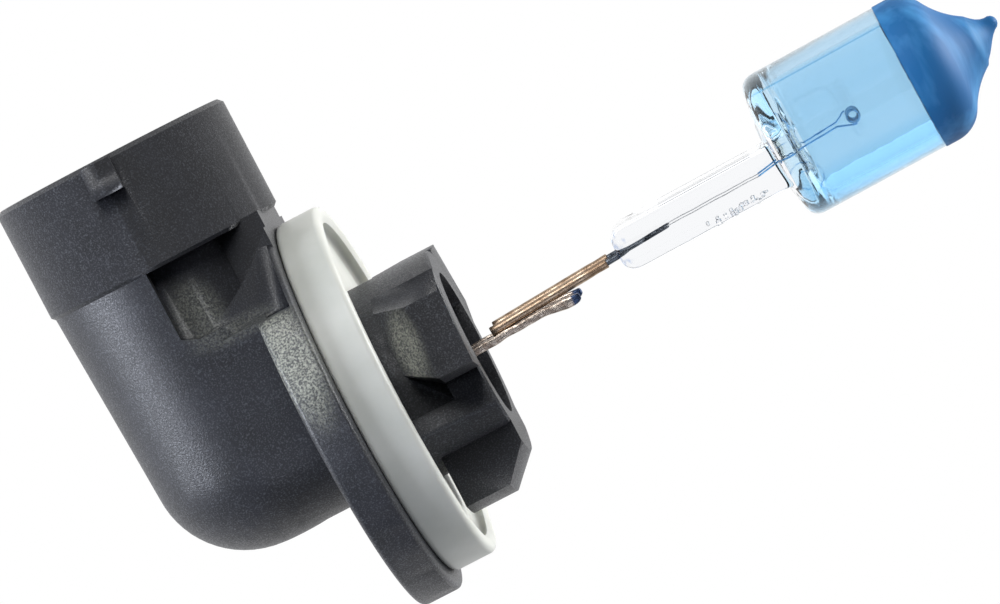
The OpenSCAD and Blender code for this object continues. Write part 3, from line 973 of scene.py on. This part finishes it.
@dataclass
class LeadPins:
    """Molybdenum pins from the sleeves into the pinch, drawn down where the glass grips them."""

    start: float = -4.2
    end: float = 3.7
    radius: float = 0.2
    neck: float = 0.3
    tail: float = 0.08

    def build(self) -> None:
        """Draws one pin with its drawn-down tip, and copies it."""
        rings = [Ring(self.start, self.radius * 0.8), Ring(self.start + 0.06, self.radius)]
        rings += [Ring(self.start + 0.06 + 0.5 * i, self.radius * (1 + 0.02 * (i % 2))) for i in range(1, 9)]
        rings += [Ring(self.neck, self.radius), Ring(self.neck + 0.35, self.radius * 0.8),
                  Ring(self.neck + 0.6, self.tail), Ring(self.end - 0.12, self.tail),
                  Ring(self.end, self.tail * 0.5)]
        pin = Stock.drawn("pin", rings, sides=24).smooth(40.0).place(LAYOUT.leads)
        LAYOUT.pair(pin, ("lead_wire_right", "lead_wire_left"), MOLYBDENUM_WIRE, "lead_metal",
                    ("lead_pin_right", "lead_pin_left"))


@dataclass
class Foils:
    """Thin foils in the pinch, feather-edged, between each pin and its inner lead."""

    start: float = 18.6
    end: float = 24.9
    width: float = 1.5
    thickness: float = 0.03

    def build(self) -> None:
        """Draws one thin strip with lens-shaped sections, and copies it."""
        radius = self.width / 2
        share = self.thickness / self.width
        count = 8
        rings = [Ring(self.start + (self.end - self.start) * i / count, radius * (1 + 0.03 * (i % 2)),
                      -LAYOUT.pinch_drop + 0.015 * math.sin(2.1 * i), share) for i in range(count + 1)]
        rings = [Ring(self.start - 0.12, radius * 0.7, -LAYOUT.pinch_drop, share), *rings,
                 Ring(self.end + 0.12, radius * 0.7, -LAYOUT.pinch_drop, share)]
        foil = Stock.drawn("foil", rings, sides=16).smooth(30.0).place(LAYOUT.leaning)
        LAYOUT.pair(foil, ("seal_foil_right", "seal_foil_left"), MOLYBDENUM_FOIL, "foil_metal",
                    ("foil_right", "foil_left"))


@dataclass
class Filament:
    """The tungsten coil across the bulb, and the two wires that hold its ends from below and above."""

    centre: float = 31.75
    drop: float = 0.36
    coil_radius: float = 0.385
    wire: float = 0.08
    length: float = 4.2
    turns: int = 13
    lead_radius: float = 0.055
    lead_rise: float = -0.44
    fork: float = 1.2
    turn_in: dict[int, float] = field(default_factory=lambda: {-1: -88.0, 1: 138.0})
    root: float = 24.9

    def build(self) -> None:
        """Winds the coil, closes its ends and draws the two wires."""
        self.wind()
        self.draw_wire("right", -1)
        self.draw_wire("left", 1)

    def wind(self) -> None:
        """Turns a wire's section round the coil's axis with a screw."""
        coil = Stock("tungsten_coil", bpy.ops.mesh.primitive_circle_add, vertices=8, radius=self.wire * MM,
                     location=(self.coil_radius * MM, 0.0, 0.0))
        coil.modify("SCREW", axis="Y", angle=2 * math.pi, screw_offset=self.length / self.turns * MM,
                    iterations=self.turns, steps=20, render_steps=20, use_normal_calculate=True)
        coil.seal().smooth(60.0)
        coil.place(Matrix.Translation((self.centre * MM, -self.length / 2 * MM, -self.drop * MM)))
        coil.place(LAYOUT.leaning).fit(FILM_BLUE_TUNGSTEN, "tungsten", "filament_coil")

    def draw_wire(self, side: str, way: int) -> None:
        """Draws an inner wire that ends under the coil on the right, or over it on the left.

        Args:
            side: right or left.
            way: the side's sign along Y.
        """
        touch = self.coil_radius + self.wire + self.lead_radius * 0.6
        fork = self.centre - self.fork
        turn = math.radians(self.turn_in[way])
        end = (self.centre + touch * math.cos(turn), touch * math.sin(turn) - self.drop)
        path = ((self.root, -LAYOUT.pinch_drop), (26.3, -0.6), (fork - 0.4, -0.46), (fork, self.lead_rise),
                ((fork + end[0]) / 2, (end[1] + self.lead_rise) / 2 + way * 0.02),
                (end[0] - 0.2, end[1] - way * 0.04), end)
        rings = []
        for i, (x, z) in enumerate(path):
            ahead, behind = path[min(i + 1, len(path) - 1)], path[max(i - 1, 0)]
            slope = math.degrees(math.atan2(ahead[1] - behind[1], ahead[0] - behind[0]))
            rings.append(Ring(x, self.lead_radius, z, 1.0, slope))
        wire = Stock.drawn(f"inner_wire_{side}", rings, sides=16).smooth(60.0).place(LAYOUT.leaning)
        wire.place(Matrix.Translation((0.0, way * LAYOUT.lead_y * MM, 0.0)))
        wire.fit(FILM_BLUE_INNER_WIRE, "lead_metal", f"inner_lead_{side}")


# ---- Glass ----

@dataclass
class Capsule:
    """The quartz capsule: a barrel closed by a dome, its pressed foot, the blue film and the blue lacquer."""

    base: float = 26.1
    end: float = 36.05
    radius: float = 4.85
    wall: float = 0.9
    corner: float = 1.1
    cone: float = 0.35
    shoulder: float = 36.9
    shoulder_round: float = 2.1
    tip_curve: float = 5.5
    tip_turn: float = 28.0
    tip_end: float = 58.0
    tip_lean: float = 17.0
    tip_length: float = 2.15
    tip_radius: float = 0.42
    pinch_thickness: float = 3.05
    pinch_width: float = 7.2
    rail: float = 1.7
    pinch_round: float = 0.34
    end_round: float = 1.0
    end_steps: int = 5
    end_turn: float = 84.0
    recess: float = 0.16
    film: float = 0.03
    gap: float = 0.006
    lacquer: float = 0.08
    lap: float = 0.6
    dip_turn: float = 2.2
    voxel: float = field(default_factory=lambda: 0.125)
    smoothing: int = 12
    floor: tuple[tuple[float, float], ...] = (
        (27.3, 0.06), (27.35, 0.5), (27.52, 1.05), (27.7, 1.6), (27.76, 2.1), (27.7, 2.6), (27.58, 2.95),
        (27.54, 3.25), (27.7, 3.6), (28.05, 3.84))
    bubbles: int = 64
    seed: int = 20
    bubble_size: tuple[float, float] = (0.04, 0.1)
    bubble_stretch: tuple[float, float] = (1.2, 3.6)

    @property
    def tip_root(self) -> tuple[float, float]:
        """Centre of the hollow curve between the shoulder and the tip, as (x, r)."""
        reach = self.shoulder_round + self.tip_curve
        turn = math.radians(self.tip_turn)
        return (self.shoulder + reach * math.cos(turn),
                self.radius - self.shoulder_round + reach * math.sin(turn))

    def dome(self, skin: float) -> list[Ring]:
        """Rings from the end of the straight barrel to the sealed tip.

        Args:
            skin: thickness added all round.

        Returns:
            The rings.
        """
        x, r = self.tip_root
        rings = arc(self.shoulder, self.radius - self.shoulder_round, self.shoulder_round + skin, 90,
                    self.tip_turn, 10)
        rings += arc(x, r, self.tip_curve - skin, 180 + self.tip_turn, 180 + self.tip_end, 9)
        seat = rings[-1]
        lean = math.radians(self.tip_lean)
        ball = self.tip_length - self.tip_radius
        start = seat.x - 0.4
        neck = ((0.5, 1.5), (0.72, 1.28), (0.95, 1.03), (1.2, 0.77), (1.45, 0.57), (ball, self.tip_radius))
        for i, (along, radius) in enumerate(neck):
            share = (i + 1) / len(neck)
            rings.append(Ring(start + along * math.cos(lean), radius + skin, along * math.sin(lean), 1.0,
                              self.tip_lean * share))
        for turn in (25, 50, 70, 84):
            angle = math.radians(turn)
            along = ball + (self.tip_radius + skin) * math.sin(angle)
            rings.append(Ring(start + along * math.cos(lean), (self.tip_radius + skin) * math.cos(angle),
                              along * math.sin(lean), 1.0, self.tip_lean))
        return rings

    def outside(self) -> Stock:
        """The glass's outer form, fused from the turned bulb and the pressed foot and softened by flame."""
        profile = [Ring(self.base, 0.1), Ring(self.base, self.radius * 0.3),
                   Ring(self.base + self.cone, self.radius - self.corner)]
        profile += arc(self.base + self.cone + self.corner, self.radius - self.corner, self.corner, 165, 90)
        glass = Stock.drawn("quartz_capsule", profile + self.dome(0.0), sides=128)
        glass.join([self.foot()])
        glass.modify("REMESH", mode="VOXEL", voxel_size=self.voxel * MM, adaptivity=0.0)
        return glass.modify("SMOOTH", factor=0.5, iterations=self.smoothing)

    def foot(self) -> Stock:
        """The pressed foot: a block with a recess in each broad face, round edges and a rounder free end."""
        start, end = LAYOUT.pinch_start + self.end_round, self.base + 1.4
        foot = Stock("foot", bpy.ops.mesh.primitive_cube_add, size=1.0,
                     location=((start + end) / 2 * MM, 0.0, -LAYOUT.pinch_drop * MM),
                     scale=((end - start) * MM, self.pinch_width * MM, self.pinch_thickness * MM))
        foot.choose(Pick.FACES, lambda face: abs(face.normal.z) > 0.9)
        bpy.ops.mesh.inset(thickness=self.rail * MM, depth=0.0, use_individual=True)
        for way in (-1, 1):
            foot.choose(Pick.FACES, lambda face: face.normal.z * way > 0.9 and abs(face.center.y) < 0.1 * MM
                        and abs(face.center.x - (start + end) / 2 * MM) < 0.1 * MM
                        and face.area < 0.6 * (end - start) * self.pinch_width * MM * MM)
            bpy.ops.transform.translate(value=(0.0, 0.0, -way * self.recess * MM))
        foot.choose(Pick.FACES, lambda face: face.normal.x < -0.9)
        along, height, width = 0.0, self.pinch_thickness / 2, self.pinch_width / 2
        for i in range(1, self.end_steps + 1):
            turn = math.radians(self.end_turn * i / self.end_steps)
            sunk = self.end_round * (1 - math.cos(turn))
            grow = ((self.pinch_width / 2 - sunk) / width, (self.pinch_thickness / 2 - sunk) / height)
            bpy.ops.mesh.extrude_region_move(TRANSFORM_OT_translate={
                "value": (-(self.end_round * math.sin(turn) - along) * MM, 0.0, 0.0)})
            bpy.ops.transform.resize(value=(1.0, *grow),
                                     center_override=(start * MM, 0.0, -LAYOUT.pinch_drop * MM))
            along, width, height = self.end_round * math.sin(turn), width * grow[0], height * grow[1]
        at_rest()
        return foot.soften(self.pinch_round, 4, 40.0)

    def gas_space(self) -> Stock:
        """The space inside, faces turned inwards: its floor bulges up round the place where the foot joins."""
        inner = self.radius - self.wall
        profile = [*(Ring(x, r) for x, r in self.floor), Ring(self.floor[-1][0] + 0.45, inner)]
        profile += arc(self.shoulder, self.radius - self.shoulder_round, self.shoulder_round - self.wall, 90,
                       self.tip_turn, 6)
        x, r = self.tip_root
        profile += arc(x, r, self.tip_curve + self.wall, 180 + self.tip_turn, 180 + self.tip_end - 8, 5)
        profile.append(Ring(profile[-1].x + 0.3, 0.1))
        return Stock.drawn("gas_space", profile, sides=128).invert()

    def bubble(self, draw: random.Random) -> Stock:
        """One small bubble drawn out along the foot's lower edge.

        Args:
            draw: the source of its place and size.

        Returns:
            The bubble, with its faces turned inwards.
        """
        size = draw.uniform(*self.bubble_size)
        x = draw.triangular(19.5, 25.6, 24.2)
        y = draw.uniform(-1, 1) * (self.pinch_width / 2 - 0.5)
        z = -LAYOUT.pinch_drop - self.pinch_thickness / 2 + draw.uniform(0.18, 0.5)
        made = Stock("bubble", bpy.ops.mesh.primitive_ico_sphere_add, subdivisions=1, radius=size * MM,
                     location=(x * MM, y * MM, z * MM))
        made.edit()
        stretch = draw.uniform(*self.bubble_stretch)
        bpy.ops.transform.resize(value=(stretch, 1.0, 1.0), center_override=(x * MM, y * MM, z * MM))
        return made.invert()

    def build(self) -> None:
        """Makes the glass, then the film and the lacquer on it."""
        glass = self.outside()
        draw = random.Random(self.seed)
        glass.join([self.gas_space(), *(self.bubble(draw) for _ in range(self.bubbles))])
        glass.place(LAYOUT.leaning).smooth(60.0).fit(QUARTZ, "clear_glass", "glass_capsule")
        self.coat_barrel()
        self.coat_dome()

    def coat_barrel(self) -> None:
        """Draws the film as a thin closed sleeve over the barrel."""
        inside, outside = self.radius + self.gap, self.radius + self.gap + self.film
        corner_x, corner_r = self.base + self.cone + self.corner, self.radius - self.corner
        outer = arc(corner_x, corner_r, self.corner + self.gap + self.film, 140, 90, 6)
        inner = arc(corner_x, corner_r, self.corner + self.gap, 90, 140, 6)
        lapped = self.end + self.lap
        profile = [*outer, Ring(lapped, outside), Ring(lapped, inside), *inner, outer[0]]
        sleeve = Stock.drawn("blue_film_sleeve", profile, sides=160).smooth(30.0).place(LAYOUT.leaning)
        sleeve.fit(FILM, "blue_film", "barrel_tint")

    def coat_dome(self) -> None:
        """Draws the lacquer over the dome, lapped over the film, with its edge a little aslant."""
        under = self.radius + 2 * self.gap + self.film
        outer = [Ring(self.end, under + 0.02), Ring(self.end + 0.05, self.radius + self.lacquer)]
        outer += self.dome(self.lacquer)
        lapped = self.end + self.lap
        inner = [Ring(lapped + 0.1, under), Ring(lapped + 0.15, self.radius + self.gap)]
        inner += arc(self.shoulder, self.radius - self.shoulder_round, self.shoulder_round + self.gap, 90,
                     self.tip_turn, 10)
        x, r = self.tip_root
        inner += arc(x, r, self.tip_curve - self.gap, 180 + self.tip_turn, 180 + self.tip_end, 9)
        inner.append(Ring(inner[-1].x + 0.3, 0.3))
        cap = Stock.drawn("lacquered_dome", outer, sides=128)
        cap.cut(Stock.drawn("dome_inside", [Ring(self.end - 0.5, under), *inner], sides=128))
        cap.choose(Pick.POINTS, lambda v: v.co.x < (self.end + 0.1) * MM)
        bpy.ops.transform.rotate(value=math.radians(self.dip_turn), orient_axis="Z",
                                 center_override=(self.end * MM, 0.0, 0.0))
        at_rest()
        cap.smooth(30.0).place(LAYOUT.leaning).fit(LACQUER, "blue_lacquer", "dome_lacquer")


# ---- Studio ----

@dataclass
class Softbox:
    """One rectangular light, by its direction from the aim, its distance, size, power and colour."""

    name: str
    direction: tuple[float, float, float]
    distance: float
    size: tuple[float, float]
    power: float
    colour: str = "#ffffff"

    def build(self, aim: Vector, lit: bpy.types.Collection) -> None:
        """Hangs the light, turns it to the aim and says what it lights.

        Args:
            aim: the point it faces, in metres.
            lit: the pieces it lights. Clear glass shows only the white round it, with no glare of the boxes.
        """
        light = bpy.data.lights.new(self.name, "AREA")
        light.shape = "RECTANGLE"
        light.size, light.size_y = self.size
        light.energy = self.power
        light.color = linear(self.colour)[:3]
        lamp = bpy.data.objects.new(self.name, light)
        bpy.context.scene.collection.objects.link(lamp)
        way = Vector(self.direction).normalized()
        lamp.location = aim + way * self.distance
        lamp.rotation_euler = way.to_track_quat("Z", "Y").to_euler()
        lamp.light_linking.receiver_collection = lit


@dataclass
class Studio:
    """White paper, soft light and the camera, which is rolled so that the bulb points up to the right.

    The softboxes leave out the unlit pieces, so that clear glass shows only the white round it, with no glare.
    """

    azimuth: float = 3.9
    elevation: float = 2.9
    roll: float = -27.63
    lens: float = 162.0
    distance: float = 282.1
    aim: tuple[float, float, float] = (6.92, 0.0, 1.53)
    floor_drop: float = 350.0
    floor_size: float = 3.0
    room: str = "#5a5e64"
    paper: str = "#ffffff"
    boxes: tuple[Softbox, ...] = (
        Softbox("left_key", (-0.95, -0.4, 0.2), 0.5, (0.3, 0.3), 3.6, "#eff4ff"),
        Softbox("top_front", (0.0, -0.75, 0.85), 0.5, (0.3, 0.2), 1.4),
        Softbox("right_strip", (1.0, 0.25, 0.1), 0.45, (0.3, 0.12), 2.6),
        Softbox("low_fill", (0.3, -0.9, -0.5), 0.6, (0.4, 0.3), 1.0, "#eef2ff"),
    )
    unlit: tuple[str, ...] = ("quartz_capsule", "blue_film_sleeve")

    def build(self) -> None:
        """Sets the floor, the sky, the lights and the camera."""
        self.lay_floor()
        self.light_sky()
        lit = bpy.data.collections.new("lit_by_softboxes")
        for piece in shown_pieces():
            if piece.name not in self.unlit:
                lit.objects.link(piece)
        for box in self.boxes:
            box.build(Vector(self.aim) * MM, lit)
        self.set_camera()

    def lay_floor(self) -> None:
        """Lays a sheet of white paper below the object, curled a little at its edges."""
        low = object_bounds()[0].z - self.floor_drop * MM
        floor = Stock("paper_floor", bpy.ops.mesh.primitive_grid_add, x_subdivisions=8, y_subdivisions=8,
                      size=self.floor_size, location=(0.0, 0.0, low))
        floor.choose(Pick.POINTS, lambda v: max(abs(v.co.x), abs(v.co.y)) > self.floor_size * 0.49)
        bpy.ops.transform.translate(value=(0.0, 0.0, 1.0 * MM))
        at_rest()
        floor.smooth(60.0)
        floor.piece.data.materials.append(PAPER.material())
        floor.piece.visible_diffuse = floor.piece.visible_glossy = False
        floor.piece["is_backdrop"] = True

    def light_sky(self) -> None:
        """Surrounds the object with white paper, and with a dimmer room in front for its reflections.

        The paper is what is seen directly and through glass. What lights the object and mirrors in it fades
        from the paper behind it to the room in front.
        """
        world = bpy.data.worlds.new("studio_sky")
        bpy.context.scene.world = world
        world.use_nodes = True
        world.node_tree.nodes.clear()
        add = partial(add_node, world.node_tree)
        way = add("SeparateXYZ", {0: add("TexCoord").outputs["Generated"]}).outputs
        depth = add("MapRange", {0: way["Y"], 1: -0.5, 2: 0.5})
        room = add("ValToRGB", {0: depth}, ((0.0, self.room), (1.0, self.paper)))
        path = add("LightPath").outputs
        seen = add("Math", {0: path["Is Camera Ray"], 1: path["Is Transmission Ray"]}, operation="MAXIMUM")
        colour = add("Mix", {0: seen, 6: room, 7: linear(self.paper)}, data_type="RGBA")
        add("OutputWorld", {0: add("Background", {0: colour, 1: 1.0})})

    def set_camera(self) -> None:
        """Points the camera at the aim from its angle, with its roll."""
        turn, rise, roll = (math.radians(a) for a in (self.azimuth, self.elevation, self.roll))
        back = Vector((math.sin(turn) * math.cos(rise), -math.cos(turn) * math.cos(rise), math.sin(rise)))
        right = Vector((math.cos(turn), math.sin(turn), 0.0))
        up = back.cross(right)
        level, upright = (right * math.cos(roll) + up * math.sin(roll),
                          up * math.cos(roll) - right * math.sin(roll))
        axes = (level, upright, back)
        place = Vector(self.aim) * MM + back * self.distance * MM
        lens = bpy.data.cameras.new("studio_camera")
        lens.lens = self.lens
        lens.clip_start, lens.clip_end = 1 * MM, 20.0
        camera = bpy.data.objects.new("studio_camera", lens)
        bpy.context.scene.collection.objects.link(camera)
        camera.matrix_world = Matrix.Translation(place) @ Matrix(axes).transposed().to_4x4()
        bpy.context.scene.camera = camera
        bpy.context.scene.view_settings.view_transform = "Standard"


def main() -> None:
    """Builds every sub-assembly in order, then the studio."""
    logging.basicConfig(level=logging.INFO, format="%(name)s: %(message)s")
    for assembly in (BaseMoulding(), Seal(), Contacts(), SupportStrips(), CrimpSleeves(), LeadPins(), Foils(),
                     Filament(), Capsule(), Studio()):
        log.info("building %s", type(assembly).__name__)
        assembly.build()


if __name__ == "__main__":
    main()
